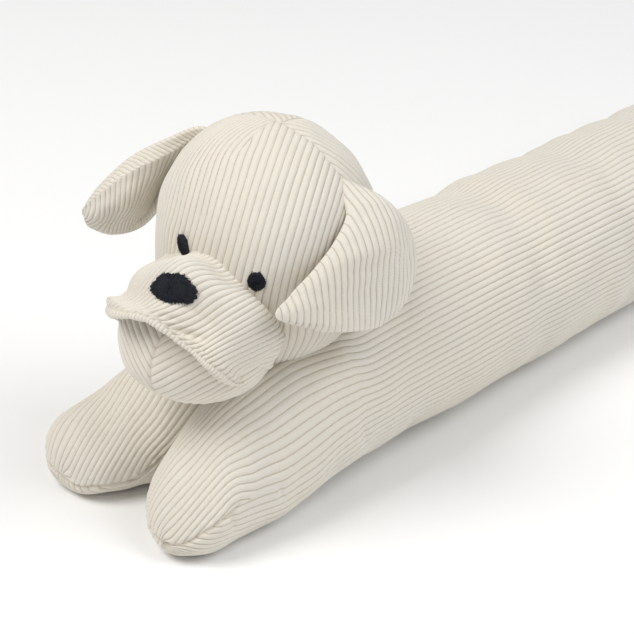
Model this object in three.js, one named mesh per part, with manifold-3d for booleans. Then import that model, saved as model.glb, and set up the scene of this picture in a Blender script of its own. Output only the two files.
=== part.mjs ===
// Draught excluder: a long stuffed tube of wide-wale corduroy with a dog's front half.
// The dog looks toward -X, its tail end points to +X and its left side faces -Y.
// Millimetres, +Z up, standing on Z = 0, origin under the middle of its box.
import * as THREE from 'three';
import { mergeVertices } from 'three/addons/utils/BufferGeometryUtils.js';
import Module from 'manifold-3d';

const wasm = await Module();
wasm.setup();

// Driving dimensions of the whole thing and of its cloth
const LENGTH = 906;
const FRONT_X = -LENGTH / 2;
const REAR_X = LENGTH / 2;
const CENTRE_Y = -13;
const WALE_PITCH = 5.2;
const WALE_DEPTH = 1.1;
const SEAT_GAP = 0.4;

// The body: a tube with a little flat under it, drawn in at its puckers and rounded off at the
// tail, whose front splits into two legs from SPLIT_START_X to CROTCH_X
const BODY_SHIFT = 3;
const BODY_HALF_WIDTH = 81;
const BODY_HALF_HEIGHT = 76.5;
const BODY_SINK = 4;
const HALF_WALES = Math.round((Math.PI * (BODY_HALF_WIDTH + BODY_HALF_HEIGHT)) / 2 / WALE_PITCH);
const PUCKER_DEPTH = 3.2;
const PUCKER_WIDTH = 17;
const PUCKERS_X = [-88, 28, 142, 255, 360];
const TAIL_DOME = 12;
const TAIL_RIM_SCALE = 0.82;
const TAIL_ROUND = 40;
const TAIL_ROUNDNESS = 2.4;
const TAIL_INNER = { scale: 0.6, drop: 0.3 };
const SHOULDER_START_X = -200;
const SPLIT_START_X = -300;
const CROTCH_X = -372;
const LEG_SINK = 3;
const PAW_TIP_Z = 16;

// Places of the body's sections, from the rim of the tail to the paws
const STATIONS = [
  REAR_X - TAIL_DOME, 428, 404, 360, 308, 255, 200, 142, 85, 28, -30, -88, -155, -225, -295,
  -335, CROTCH_X, -390, -407, -422, -436, -446,
];

// The head: a ball turned to its right and tilted, drawn down into a broad neck
const HEAD_RADIUS = 76;
const HEAD_CENTRE = new THREE.Vector3(-320, 0, 208);
const HEAD_YAW = THREE.MathUtils.degToRad(13);
const HEAD_TILT = THREE.MathUtils.degToRad(7);
const NECK_DEPTH = 100;
const NECK_FULLNESS = 3;
const NECK_LOWEST = 0.97;

// Height of the trunk's back and its half width near the front, by place along the body
const SHOULDERS = [
  { x: -300, top: 147, half: 83 },
  { x: -335, top: 141, half: 84 },
  { x: -372, top: 118, half: 82 },
];

// The front legs, near on the -Y side and far on the +Y side: how far out each one's middle
// line runs, its half width and the height of its top
const LEGS = [
  { x: -300, near: 41, far: 42, nearHalf: 42, farHalf: 42, nearTop: 146, farTop: 146 },
  { x: -345, near: 40, far: 44, nearHalf: 42, farHalf: 42, nearTop: 134, farTop: 129 },
  { x: -372, near: 38, far: 48, nearHalf: 41, farHalf: 41.5, nearTop: 117, farTop: 105 },
  { x: -392, near: 35, far: 58, nearHalf: 39.5, farHalf: 41, nearTop: 101, farTop: 85 },
  { x: -410, near: 34, far: 68, nearHalf: 38.5, farHalf: 40, nearTop: 85, farTop: 67 },
  { x: -426, near: 33, far: 74, nearHalf: 36.5, farHalf: 39.5, nearTop: 67, farTop: 54 },
  { x: -439, near: 33, far: 76, nearHalf: 31, farHalf: 36.5, nearTop: 49, farTop: 46 },
  { x: -448, near: 33, far: 77, nearHalf: 17, farHalf: 29, nearTop: 32, farTop: 37 },
];

// The upper muzzle from the dog's right jowl over the nose to its left jowl, in the head's
// own directions: across to its left, forward and up, for the seam on the face and the lip
const MUZZLE_ARCH = [
  { u: 0, seamAcross: -46, seamUp: -62, lipAcross: -50, lipForward: 80, lipUp: -70 },
  { u: 0.1, seamAcross: -47, seamUp: -34, lipAcross: -51, lipForward: 102, lipUp: -56 },
  { u: 0.22, seamAcross: -41, seamUp: -17, lipAcross: -46, lipForward: 119, lipUp: -38 },
  { u: 0.35, seamAcross: -26, seamUp: -3, lipAcross: -30, lipForward: 129, lipUp: -23 },
  { u: 0.5, seamAcross: 1, seamUp: 10, lipAcross: 0, lipForward: 131, lipUp: -13 },
  { u: 0.65, seamAcross: 28, seamUp: -2, lipAcross: 27, lipForward: 122, lipUp: -28 },
  { u: 0.78, seamAcross: 42, seamUp: -17, lipAcross: 43, lipForward: 119, lipUp: -38 },
  { u: 0.9, seamAcross: 48, seamUp: -36, lipAcross: 51, lipForward: 102, lipUp: -57 },
  { u: 1, seamAcross: 46, seamUp: -62, lipAcross: 50, lipForward: 80, lipUp: -70 },
];
// How far the muzzle's skin rises above straight lines from seam to lip, and where it ends and
// flares; the dog's right cheek is the flatter one. All of it is filled down to a deep point.
const MUZZLE_RISE = 12;
const MUZZLE_RISE_END = 0.64;
const LIP_FLARE = 3.5;
const RIGHT_CHEEK = { share: 0.45, from: 0.3, to: 0.5 };
const SEAM_SINK = 1;
const MUZZLE_DEEP = [58, 3, -42];

const JAW = { across: -4, forward: 67, up: -59, halfAcross: 51, halfForward: 59, halfUp: 44 };

// Each ear from its root to its tip: its two edges, and how far its middle bulges or cups
const EAR_LEFT = {
  bulge: new THREE.Vector3(0, -7, 0),
  thickness: 15,
  wales: 17,
  rows: [
    { t: 0, ax: -309, ay: -59, az: 256, bx: -297, by: -57, bz: 259 },
    { t: 0.2, ax: -318, ay: -68, az: 240, bx: -276, by: -70, bz: 241 },
    { t: 0.4, ax: -333, ay: -76, az: 226, bx: -264, by: -79, bz: 222 },
    { t: 0.6, ax: -354, ay: -79, az: 213, bx: -260, by: -86, bz: 201 },
    { t: 0.8, ax: -374, ay: -80, az: 202, bx: -262, by: -91, bz: 180 },
    { t: 0.93, ax: -377, ay: -83, az: 188, bx: -274, by: -94, bz: 161 },
    { t: 1, ax: -350, ay: -90, az: 168, bx: -300, by: -95, bz: 154 },
  ],
};
const EAR_RIGHT = {
  bulge: new THREE.Vector3(6, 6, 0),
  thickness: 13,
  wales: 12,
  rows: [
    { t: 0, ax: -322, ay: 55, az: 266, bx: -325, by: 68, bz: 229 },
    { t: 0.3, ax: -341, ay: 74, az: 255, bx: -344, by: 80, bz: 199 },
    { t: 0.55, ax: -361, ay: 94, az: 240, bx: -358, by: 92, bz: 179 },
    { t: 0.8, ax: -378, ay: 110, az: 217, bx: -373, by: 104, bz: 173 },
    { t: 1, ax: -389, ay: 121, az: 199, bx: -386, by: 117, bz: 186 },
  ],
};

const EAR_BULGE_END = 0.8;
const EAR_FULLNESS = { root: 0.08, tip: 0.98 };

// Stitched nose and eyes: padded patches with a bed under them, placed on the muzzle by its
// shares u and v and on the face by left and up
const STITCH_LIFT = 2.4;
const STITCH_ROOT = 3;
const STITCH_EDGE = 0.8;
const NOSE = { u: 0.5, v: 0.58, halfAcross: 16, halfUp: 10.5 };
const MUZZLE_SPAN = 185;
const MUZZLE_REACH = 62;
const EYES = {
  eye_right: { left: -18, up: 12, halfAcross: 5.5, halfUp: 6.5 },
  eye_left: { left: 39, up: 1, halfAcross: 6.5, halfUp: 6.5 },
};

// Flat faces over each form: rounds or wales one way, segments the other
const HEAD_ROUNDS = 2 * Math.round((Math.PI * HEAD_RADIUS) / WALE_PITCH);
const HEAD_SEGMENTS = 16;
const JAW_ROUNDS = 40;
const JAW_SEGMENTS = 14;
const MUZZLE_WALES = Math.round(MUZZLE_SPAN / WALE_PITCH) - 4;
const MUZZLE_STEPS = 6;
const EAR_STEPS = 7;
const STITCH_SEGMENTS = 14;
const STITCH_RINGS = 2;

// Rooms that a piece leaves for its neighbour: smooth forms, grown by the gap and by a slack
// that makes up for their flat faces
const BODY_ROOM = { steps: 32, slack: 0.35 };
const HEAD_ROOM = { rounds: 36, segments: 32, slack: 0.5 };
const JAW_ROOM = { rounds: 24, segments: 24, slack: 0.35 };

const NORMAL_STEP = 0.01;
const CREAM = 0xded8cc;
const BLACK = 0x15161a;

const smooth = THREE.MathUtils.smoothstep;
const mix = THREE.MathUtils.lerp;

/** Smooth interpolation of one named column over another. */
function column(rows, key, name) {
  return (value) => {
    const rising = rows[0][key] < rows[rows.length - 1][key];
    const sorted = rising ? rows : [...rows].reverse();
    const last = sorted.length - 1;
    if (value <= sorted[0][key]) return sorted[0][name];
    if (value >= sorted[last][key]) return sorted[last][name];
    const i = sorted.findIndex((row) => row[key] > value) - 1;
    const before = sorted[Math.max(i - 1, 0)];
    const after = sorted[Math.min(i + 2, last)];
    const a = sorted[i];
    const b = sorted[i + 1];
    const span = b[key] - a[key];
    const s = (value - a[key]) / span;
    const slopeA = (b[name] - before[name]) / (b[key] - before[key]);
    const slopeB = (after[name] - a[name]) / (after[key] - a[key]);
    const s2 = s * s;
    const s3 = s2 * s;
    return (
      (2 * s3 - 3 * s2 + 1) * a[name] +
      (s3 - 2 * s2 + s) * span * slopeA +
      (3 * s2 - 2 * s3) * b[name] +
      (s3 - s2) * span * slopeB
    );
  };
}

function geometryOf(points, faces) {
  const geometry = new THREE.BufferGeometry();
  geometry.setAttribute('position', new THREE.Float32BufferAttribute(points.flat(), 3));
  geometry.setIndex(faces.flat());
  return geometry;
}

/** Moves each point along its normal, to make the room a neighbour has to leave free. */
function grown(geometry, gap) {
  const copy = mergeVertices(geometry.clone());
  copy.computeVertexNormals();
  const position = copy.attributes.position;
  const normal = copy.attributes.normal;
  for (let i = 0; i < position.count; i += 1) {
    position.setXYZ(
      i,
      position.getX(i) + gap * normal.getX(i),
      position.getY(i) + gap * normal.getY(i),
      position.getZ(i) + gap * normal.getZ(i),
    );
  }
  copy.deleteAttribute('normal');
  return copy;
}

function solidOf(geometry) {
  const merged = mergeVertices(geometry);
  return new wasm.Manifold(
    new wasm.Mesh({
      numProp: 3,
      vertProperties: new Float32Array(merged.attributes.position.array),
      triVerts: new Uint32Array(merged.index.array),
    }),
  );
}

/** The largest body of a cut solid, without the slivers a cut may leave. */
function geometryFromSolid(solid) {
  const bodies = solid.decompose().sort((a, b) => b.volume() - a.volume());
  const mesh = bodies[0].getMesh();
  const geometry = new THREE.BufferGeometry();
  geometry.setAttribute('position', new THREE.BufferAttribute(mesh.vertProperties, 3));
  geometry.setIndex(new THREE.BufferAttribute(mesh.triVerts, 1));
  return geometry;
}

function cut(geometry, ...rooms) {
  const solid = rooms.reduce((rest, room) => rest.subtract(solidOf(room)), solidOf(geometry));
  return geometryFromSolid(solid);
}

/** Quads between two rows of point numbers, without the faces that share a corner twice. */
function strip(lower, upper, faces, flip) {
  for (let j = 0; j + 1 < lower.length; j += 1) {
    const [a, b, c, d] = [lower[j], lower[j + 1], upper[j + 1], upper[j]];
    for (const face of [[a, b, c], [a, c, d]]) {
      if (new Set(face).size === 3) faces.push(flip ? [face[0], face[2], face[1]] : face);
    }
  }
}

function fan(row, tip, faces, flip) {
  strip(row, row.map(() => tip), faces, flip);
}

/** How far the tube's girth is drawn in at a place, where the stuffing gives way. */
function pucker(x) {
  return PUCKERS_X.reduce((depth, at) => {
    const away = (x - at) / PUCKER_WIDTH;
    return depth - PUCKER_DEPTH * Math.exp(-away * away);
  }, 0);
}

const shoulderTop = column(SHOULDERS, 'x', 'top');
const shoulderHalf = column(SHOULDERS, 'x', 'half');
const SIDES = {
  near: {
    sign: -1,
    centre: column(LEGS, 'x', 'near'),
    half: column(LEGS, 'x', 'nearHalf'),
    top: column(LEGS, 'x', 'nearTop'),
  },
  far: {
    sign: 1,
    centre: column(LEGS, 'x', 'far'),
    half: column(LEGS, 'x', 'farHalf'),
    top: column(LEGS, 'x', 'farTop'),
  },
};

/** Half a trunk section: t runs from the middle of the back round one side to the belly. */
function trunkPoint(x, t, side, relief) {
  const rear = Math.max(0, (x - (REAR_X - TAIL_DOME - TAIL_ROUND)) / TAIL_ROUND);
  const scale = mix(1, TAIL_RIM_SCALE, rear ** TAIL_ROUNDNESS);
  const front = smooth(-x, -SHOULDER_START_X, -SPLIT_START_X);
  const fullTop = 2 * BODY_HALF_HEIGHT - BODY_SINK;
  const top = mix(fullTop, shoulderTop(x), front) * scale + pucker(x);
  const a = mix(BODY_HALF_WIDTH, shoulderHalf(x), front) * scale + pucker(x) + relief;
  const b = (top + BODY_SINK) / 2 + relief;
  const centreZ = (top - BODY_SINK) / 2;
  return [x, side.sign * a * Math.sin(t), Math.max(0, centreZ + b * Math.cos(t))];
}

/** A whole leg section: t runs from the inner side over the top and back underneath. */
function legPoint(x, t, side, relief) {
  const a = side.half(x) + relief;
  const b = (side.top(x) + LEG_SINK) / 2 + relief;
  const centreZ = (side.top(x) - LEG_SINK) / 2;
  const y = side.sign * (side.centre(x) - a * Math.cos(2 * t));
  return [x, y, Math.max(0, centreZ + b * Math.sin(2 * t))];
}

/** The stuffed body: one tube whose two halves each run on into a front leg. */
function bodyGeometry(steps, depth) {
  const points = [];
  const faces = [];
  const number = ([x, y, z]) => points.push([x, y + BODY_SHIFT, z]) - 1;
  const crotchZ = (SIDES.far.top(CROTCH_X) - LEG_SINK) / 2;

  /** One side's row of points. The two rows share their ends on the middle line as far as the
   * crotch, where those ends meet in one point; past it each row closes on itself. */
  const halfSection = (x, side, otherRow) => {
    const legShare = smooth(-x, -SPLIT_START_X, -CROTCH_X);
    const row = [];
    for (let j = 0; j <= steps; j += 1) {
      const t = (Math.PI * j) / steps;
      const relief = j % 2 === 0 ? 0 : -depth;
      const trunk = trunkPoint(x, t, side, relief);
      const leg = legPoint(x, t, side, relief);
      const [, y, z] = trunk.map((value, k) => mix(value, leg[k], legShare));
      const isEnd = j === 0 || j === steps;
      if (!isEnd || (x < CROTCH_X && j === 0)) row.push(number([x, y, z]));
      else if (x < CROTCH_X) row.push(row[0]);
      else if (otherRow) row.push(otherRow[j]);
      else if (x > CROTCH_X) row.push(number([x, 0, z]));
      else row.push(row[0] ?? number([x, 0, crotchZ]));
    }
    return row;
  };
  const rows = STATIONS.map((x) => {
    const near = halfSection(x, SIDES.near, null);
    return { near, far: halfSection(x, SIDES.far, x < CROTCH_X ? null : near) };
  });

  const middleZ = trunkPoint(STATIONS[0], 0, SIDES.far, 0)[2] / 2;
  const tailMiddle = number([REAR_X, 0, middleZ]);
  const panelPoint = (index) => {
    const [, y, z] = points[index];
    const inY = (y - BODY_SHIFT) * TAIL_INNER.scale;
    const inZ = mix(middleZ, z, TAIL_INNER.scale);
    return number([REAR_X - TAIL_DOME * TAIL_INNER.drop, inY, inZ]);
  };
  const nearPanel = rows[0].near.map(panelPoint);
  const farPanel = rows[0].far.map((index, j) => {
    const isEnd = j === 0 || j === steps;
    return isEnd ? nearPanel[j] : panelPoint(index);
  });
  const panel = { near: nearPanel, far: farPanel };

  for (const [name, side] of Object.entries(SIDES)) {
    const flip = side.sign < 0;
    const halves = [panel[name], ...rows.map((row) => row[name])];
    for (let i = 0; i + 1 < halves.length; i += 1) strip(halves[i], halves[i + 1], faces, flip);
    const pawTip = number([FRONT_X, side.sign * side.centre(FRONT_X), PAW_TIP_Z]);
    fan(halves[halves.length - 1], pawTip, faces, flip);
    fan(halves[0], tailMiddle, faces, !flip);
  }
  return geometryOf(points, faces);
}

// The head's own directions: forward along the muzzle, to the dog's left, and up
const FORWARD = new THREE.Vector3(-Math.cos(HEAD_YAW), -Math.sin(HEAD_YAW), 0);
const LEVEL_LEFT = new THREE.Vector3(Math.sin(HEAD_YAW), -Math.cos(HEAD_YAW), 0);
const WORLD_UP = new THREE.Vector3(0, 0, 1);
const LEFT = LEVEL_LEFT.clone().multiplyScalar(Math.cos(HEAD_TILT))
  .addScaledVector(WORLD_UP, -Math.sin(HEAD_TILT));
const UP = WORLD_UP.clone().multiplyScalar(Math.cos(HEAD_TILT))
  .addScaledVector(LEVEL_LEFT, Math.sin(HEAD_TILT));

/** A place given forward, left and up from the middle of the head. */
function onHead(forward, left, up) {
  return HEAD_CENTRE.clone()
    .addScaledVector(FORWARD, forward)
    .addScaledVector(LEFT, left)
    .addScaledVector(UP, up);
}

/** A ball whose wales are parallel rounds about the ear line, given by a shape for each place. */
function roundsGeometry(rounds, segments, depth, shape) {
  const points = [];
  const faces = [];
  const rows = [];
  for (let i = 1; i < rounds; i += 1) {
    const angle = (Math.PI * i) / rounds;
    const relief = i % 2 === 0 ? 0 : -depth;
    const ring = [];
    for (let j = 0; j < segments; j += 1) {
      const turn = (2 * Math.PI * j) / segments;
      ring.push(points.push(shape(angle, turn, relief).toArray()) - 1);
    }
    rows.push([...ring, ring[0]]);
  }
  for (let i = 0; i + 1 < rows.length; i += 1) strip(rows[i], rows[i + 1], faces, false);
  fan(rows[0], points.push(shape(0, 0, 0).toArray()) - 1, faces, true);
  fan(rows[rows.length - 1], points.push(shape(Math.PI, 0, 0).toArray()) - 1, faces, false);
  return geometryOf(points, faces);
}

/** Radius of the head's level section at a height over its middle. */
function girthRadius(up) {
  if (up >= 0) return Math.sqrt(HEAD_RADIUS ** 2 - up ** 2);
  const share = Math.min(-up / NECK_DEPTH, NECK_LOWEST);
  return HEAD_RADIUS * (1 - share ** NECK_FULLNESS) ** (1 / NECK_FULLNESS);
}

/** The head: round above, and below its middle drawn down into a broad neck. */
function headShape(extra) {
  return (angle, turn, relief) => {
    const reach = HEAD_RADIUS + extra + relief;
    const forward = reach * Math.sin(angle) * Math.cos(turn);
    const left = reach * Math.cos(angle);
    const up = reach * Math.sin(angle) * Math.sin(turn);
    if (up >= 0) return onHead(forward, left, up);
    const depth = (up * NECK_DEPTH) / HEAD_RADIUS;
    const level = Math.sqrt(Math.max(reach ** 2 - up ** 2, 1));
    const widen = (girthRadius(depth) + extra + relief) / level;
    return onHead(forward * widen, left * widen, depth);
  };
}

/** The lower jaw: a stuffed ball under the lip. */
function jawShape(angle, turn, relief) {
  return onHead(
    JAW.forward + (JAW.halfForward + relief) * Math.sin(angle) * Math.cos(turn),
    JAW.across + (JAW.halfAcross + relief) * Math.cos(angle),
    JAW.up + (JAW.halfUp + relief) * Math.sin(angle) * Math.sin(turn),
  );
}

const archColumns = Object.fromEntries(
  ['seamAcross', 'seamUp', 'lipAcross', 'lipForward', 'lipUp'].map((name) => [
    name,
    column(MUZZLE_ARCH, 'u', name),
  ]),
);

/** The outer skin of the upper muzzle; v runs from the seam on the face to the lip. */
function muzzleSkin(u, v, lift) {
  const seamAcross = archColumns.seamAcross(u);
  const seamUp = archColumns.seamUp(u);
  const seamForward = Math.sqrt((girthRadius(seamUp) - SEAM_SINK) ** 2 - seamAcross ** 2);
  const cheek = mix(RIGHT_CHEEK.share, 1, smooth(u, RIGHT_CHEEK.from, RIGHT_CHEEK.to));
  const fullness = MUZZLE_RISE * cheek;
  const dome = fullness * Math.sin((Math.PI * v) / MUZZLE_RISE_END);
  const flare = LIP_FLARE * Math.sin((Math.PI * (v - MUZZLE_RISE_END)) / (1 - MUZZLE_RISE_END));
  const rise = v < MUZZLE_RISE_END ? dome : -flare;
  const lean = (u - 0.5) * Math.PI;
  return onHead(
    mix(seamForward, archColumns.lipForward(u), v),
    mix(seamAcross, archColumns.lipAcross(u), v) + Math.sin(lean) * (rise + lift),
    mix(seamUp, archColumns.lipUp(u), v) + Math.cos(lean) * (rise + lift),
  );
}

/** The upper muzzle filled down to one deep point, which the head and the jaw then cut away. */
function muzzleGeometry(depth) {
  const countU = MUZZLE_WALES * 2;
  const countV = MUZZLE_STEPS;
  const points = [];
  const faces = [];
  const rows = [];
  for (let i = 0; i <= countU; i += 1) {
    rows.push([]);
    for (let j = 0; j <= countV; j += 1) {
      const relief = i % 2 === 0 ? 0 : depth;
      rows[i].push(points.push(muzzleSkin(i / countU, j / countV, -relief).toArray()) - 1);
    }
  }
  for (let i = 0; i < countU; i += 1) strip(rows[i], rows[i + 1], faces, false);
  const deep = points.push(onHead(...MUZZLE_DEEP).toArray()) - 1;
  fan(rows[0], deep, faces, true);
  fan(rows[countU], deep, faces, false);
  fan(rows.map((row) => row[0]), deep, faces, false);
  fan(rows.map((row) => row[countV]), deep, faces, true);
  return geometryOf(points, faces);
}

/** A stuffed ear: two skins on either side of a bent leaf, sharing the seam at their rim. */
function earGeometry(ear, depth) {
  const names = ['ax', 'ay', 'az', 'bx', 'by', 'bz'];
  const edge = Object.fromEntries(names.map((name) => [name, column(ear.rows, 't', name)]));
  const middle = (q, t) => {
    const a = new THREE.Vector3(edge.ax(t), edge.ay(t), edge.az(t));
    const b = new THREE.Vector3(edge.bx(t), edge.by(t), edge.bz(t));
    const bulge = 4 * q * (1 - q) * Math.sin(Math.PI * Math.min(t, EAR_BULGE_END));
    return a.lerp(b, q).addScaledVector(ear.bulge, bulge);
  };
  const normal = (q, t) => {
    const across = middle(q + NORMAL_STEP, t).sub(middle(q - NORMAL_STEP, t));
    const further = middle(q, Math.min(t + NORMAL_STEP, 1));
    const along = further.sub(middle(q, Math.max(t - NORMAL_STEP, 0)));
    return across.cross(along).normalize();
  };
  const countU = ear.wales * 2;
  const countV = EAR_STEPS;
  const points = [];
  const faces = [];
  const skins = [[], []];
  for (let i = 0; i <= countU; i += 1) {
    const q = i / countU;
    const relief = i % 2 === 0 ? 0 : depth;
    skins.forEach((skin) => skin.push([]));
    for (let j = 0; j <= countV; j += 1) {
      const t = j / countV;
      const rim = i === 0 || i === countU || j === 0 || j === countV;
      const along = Math.sin(Math.PI * mix(EAR_FULLNESS.root, EAR_FULLNESS.tip, t));
      const full = Math.sqrt(4 * q * (1 - q) * along);
      const out = normal(q, t).multiplyScalar((ear.thickness / 2) * full - relief);
      const place = middle(q, t);
      const first = points.push((rim ? place : place.clone().add(out)).toArray()) - 1;
      const second = rim ? first : points.push(place.clone().sub(out).toArray()) - 1;
      skins[0][i].push(first);
      skins[1][i].push(second);
    }
  }
  for (let i = 0; i < countU; i += 1) {
    strip(skins[0][i], skins[0][i + 1], faces, true);
    strip(skins[1][i], skins[1][i + 1], faces, false);
  }
  return geometryOf(points, faces);
}

/** A padded patch of stitching: a shallow dome over a bed that follows the cloth below it. */
function patchGeometry(surface, halfAcross, halfUp) {
  const segments = STITCH_SEGMENTS;
  const rings = STITCH_RINGS;
  const points = [];
  const faces = [];
  const number = (point) => points.push(point.toArray()) - 1;
  const layer = (height) => {
    const rows = [];
    for (let k = 1; k <= rings; k += 1) {
      const share = k / rings;
      const row = [];
      for (let j = 0; j < segments; j += 1) {
        const turn = (2 * Math.PI * j) / segments;
        row.push(number(surface(
          halfAcross * share * Math.cos(turn),
          halfUp * share * Math.sin(turn),
          height(share),
        )));
      }
      rows.push([...row, row[0]]);
    }
    return { rows, centre: number(surface(0, 0, height(0))) };
  };
  const top = layer((share) => SEAT_GAP + STITCH_LIFT * Math.sqrt(1 - STITCH_EDGE * share * share));
  const bed = layer(() => -STITCH_ROOT);
  fan(top.rows[0], top.centre, faces, false);
  fan(bed.rows[0], bed.centre, faces, true);
  for (let k = 0; k + 1 < rings; k += 1) {
    strip(top.rows[k], top.rows[k + 1], faces, true);
    strip(bed.rows[k], bed.rows[k + 1], faces, false);
  }
  strip(top.rows[rings - 1], bed.rows[rings - 1], faces, true);
  return geometryOf(points, faces);
}

function noseSurface(across, up, lift) {
  const u = NOSE.u + across / MUZZLE_SPAN;
  const v = NOSE.v - up / MUZZLE_REACH;
  const side = muzzleSkin(u + NORMAL_STEP, v, 0).sub(muzzleSkin(u - NORMAL_STEP, v, 0));
  const down = muzzleSkin(u, v + NORMAL_STEP, 0).sub(muzzleSkin(u, v - NORMAL_STEP, 0));
  return muzzleSkin(u, v, 0).addScaledVector(side.cross(down).normalize(), -lift);
}

function eyeSurface({ left, up }) {
  return (across, rise, lift) => {
    const y = left + across;
    const z = up + rise;
    const forward = Math.sqrt(HEAD_RADIUS ** 2 - y ** 2 - z ** 2);
    const scale = (HEAD_RADIUS + lift) / HEAD_RADIUS;
    return onHead(forward * scale, y * scale, z * scale);
  };
}

const group = new THREE.Group();

function add(name, geometry, colour) {
  const material = new THREE.MeshStandardMaterial({ color: colour, roughness: 0.95, metalness: 0 });
  const mesh = new THREE.Mesh(geometry, material);
  mesh.name = name;
  mesh.position.y = CENTRE_Y;
  group.add(mesh);
}

/** A smooth head, with room around it for what is sewn on. */
function headRoomOf(gap) {
  return roundsGeometry(HEAD_ROOM.rounds, HEAD_ROOM.segments, 0, headShape(gap));
}

const bodyRoom = grown(bodyGeometry(BODY_ROOM.steps, 0), SEAT_GAP + BODY_ROOM.slack);
const headRoom = headRoomOf(SEAT_GAP + HEAD_ROOM.slack);
const eyeRoom = headRoomOf(SEAT_GAP);
const smoothJaw = roundsGeometry(JAW_ROOM.rounds, JAW_ROOM.segments, 0, jawShape);
const jawRoom = grown(smoothJaw, SEAT_GAP + JAW_ROOM.slack);
const muzzleRoom = grown(muzzleGeometry(0), SEAT_GAP);

const head = roundsGeometry(HEAD_ROUNDS, HEAD_SEGMENTS, WALE_DEPTH, headShape(0));
const jaw = roundsGeometry(JAW_ROUNDS, JAW_SEGMENTS, WALE_DEPTH, jawShape);
const nose = patchGeometry(noseSurface, NOSE.halfAcross, NOSE.halfUp);

add('body', bodyGeometry(HALF_WALES * 2, WALE_DEPTH), CREAM);
add('head', cut(head, bodyRoom), CREAM);
add('muzzle_upper', cut(muzzleGeometry(WALE_DEPTH), headRoom, jawRoom, bodyRoom), CREAM);
add('muzzle_lower', cut(jaw, headRoom, bodyRoom), CREAM);
add('ear_left', cut(earGeometry(EAR_LEFT, WALE_DEPTH), headRoom, bodyRoom, muzzleRoom), CREAM);
add('ear_right', cut(earGeometry(EAR_RIGHT, WALE_DEPTH), headRoom), CREAM);
add('nose', cut(nose, muzzleRoom), BLACK);
for (const [name, eye] of Object.entries(EYES)) {
  const patch = patchGeometry(eyeSurface(eye), eye.halfAcross, eye.halfUp);
  add(name, cut(patch, eyeRoom, muzzleRoom), BLACK);
}

export default group;
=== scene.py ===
"""Looks of the dog-shaped draught excluder: cream wide-wale corduroy with stitched black nose and eyes.

Sizes are in millimetres in the CAD's own frame, before its shift along Y, and become metres when a
mesh is made. The dog looks toward -X, its left side faces -Y. A place in ribs counts the cloth's ribs
from one groove to the next, so there is a groove at each whole number.
"""
from functools import partial
from math import cos, pi, radians, sin, sqrt

import bpy
import numpy as np
from mathutils import Matrix, Vector


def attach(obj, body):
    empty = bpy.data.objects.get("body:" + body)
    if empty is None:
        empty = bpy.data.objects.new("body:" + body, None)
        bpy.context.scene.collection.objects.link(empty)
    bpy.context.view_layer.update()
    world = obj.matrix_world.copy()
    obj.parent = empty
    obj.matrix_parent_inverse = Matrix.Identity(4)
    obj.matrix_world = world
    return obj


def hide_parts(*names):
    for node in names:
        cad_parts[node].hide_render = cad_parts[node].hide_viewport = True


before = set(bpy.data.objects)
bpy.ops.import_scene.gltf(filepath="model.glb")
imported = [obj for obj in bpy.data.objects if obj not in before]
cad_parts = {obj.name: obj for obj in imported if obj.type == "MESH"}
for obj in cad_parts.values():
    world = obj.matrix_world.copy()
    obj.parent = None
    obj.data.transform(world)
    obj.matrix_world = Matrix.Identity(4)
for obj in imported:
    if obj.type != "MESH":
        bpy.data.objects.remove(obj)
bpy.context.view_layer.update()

# Scale, and the cloth's own sizes
MM = 0.001
CENTRE_Y = -13.0  # the CAD's shift along Y
WALE_PITCH, WALE_DEPTH = 5.2, 0.95
GROOVE_SHARE = 0.27  # how much of a rib's width each of its two walls takes
WALL_RISE = 0.72  # how much of a rib's height its walls take; its round crest takes the rest
SAMPLES, FINE_SAMPLES = 6, 7  # mesh points from one groove to the next
SEAM_FLATTENS = 0.55  # how much a seam presses the ribs beside it flat
WELD, WELD_OFFSET = 0.01, 0.37  # points in one cell of this size are joined; the offset is in cells


# Small mathematics

def mix(a, b, share):
    return a + (b - a) * share


def smooth(value, start, end):
    """0 before the start and 1 past the end, either way along."""
    s = np.clip((value - start) / (end - start), 0.0, 1.0)
    return s * s * (3 - 2 * s)


def bump(distance, width):
    return np.exp(-((distance / width) ** 2))


def ridge(distance, size):
    """A soft ridge of a height and a width, by the distance from its line."""
    height, width = size
    return height * bump(distance, width)


def table(names, *rows):
    """A short table's columns by name."""
    return {name: np.array([row[k] for row in rows], float) for k, name in enumerate(names.split())}


def read(rows, name, value):
    """Smooth interpolation of a table's named column over its first one, held at its ends."""
    x, y = next(iter(rows.values())), rows[name]
    if x[0] > x[-1]:
        x, y = x[::-1], y[::-1]
    before = np.maximum(np.arange(len(x)) - 1, 0)
    after = np.minimum(np.arange(len(x)) + 1, len(x) - 1)
    slope = (y[after] - y[before]) / (x[after] - x[before])
    value = np.clip(value, x[0], x[-1])
    i = np.clip(np.searchsorted(x, value, side="right") - 1, 0, len(x) - 2)
    span = x[i + 1] - x[i]
    s = (value - x[i]) / span
    s2, s3 = s * s, s * s * s
    return ((2 * s3 - 3 * s2 + 1) * y[i] + (s3 - 2 * s2 + s) * span * slope[i]
            + (3 * s2 - 2 * s3) * y[i + 1] + (s3 - s2) * span * slope[i + 1])


def waves(points, seed, sizes, count=5):
    """Smooth unevenness in space, about -1 to 1, as a sum of waves of the given sizes."""
    rng = np.random.default_rng(seed)
    total = np.zeros(points.shape[:-1])
    for size in sizes:
        for _ in range(count):
            way = rng.normal(size=3)
            way *= 2 * pi / (size * np.linalg.norm(way))
            total += np.sin(points @ way + rng.uniform(0, 2 * pi))
    return total / sqrt(count * len(sizes))


def uneven(points, seed, *layers):
    """Unevenness in mm. Each layer has a height and the sizes of its waves, and takes the next seed."""
    return sum(height * waves(points, seed + k, sizes) for k, (height, sizes) in enumerate(layers))


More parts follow.
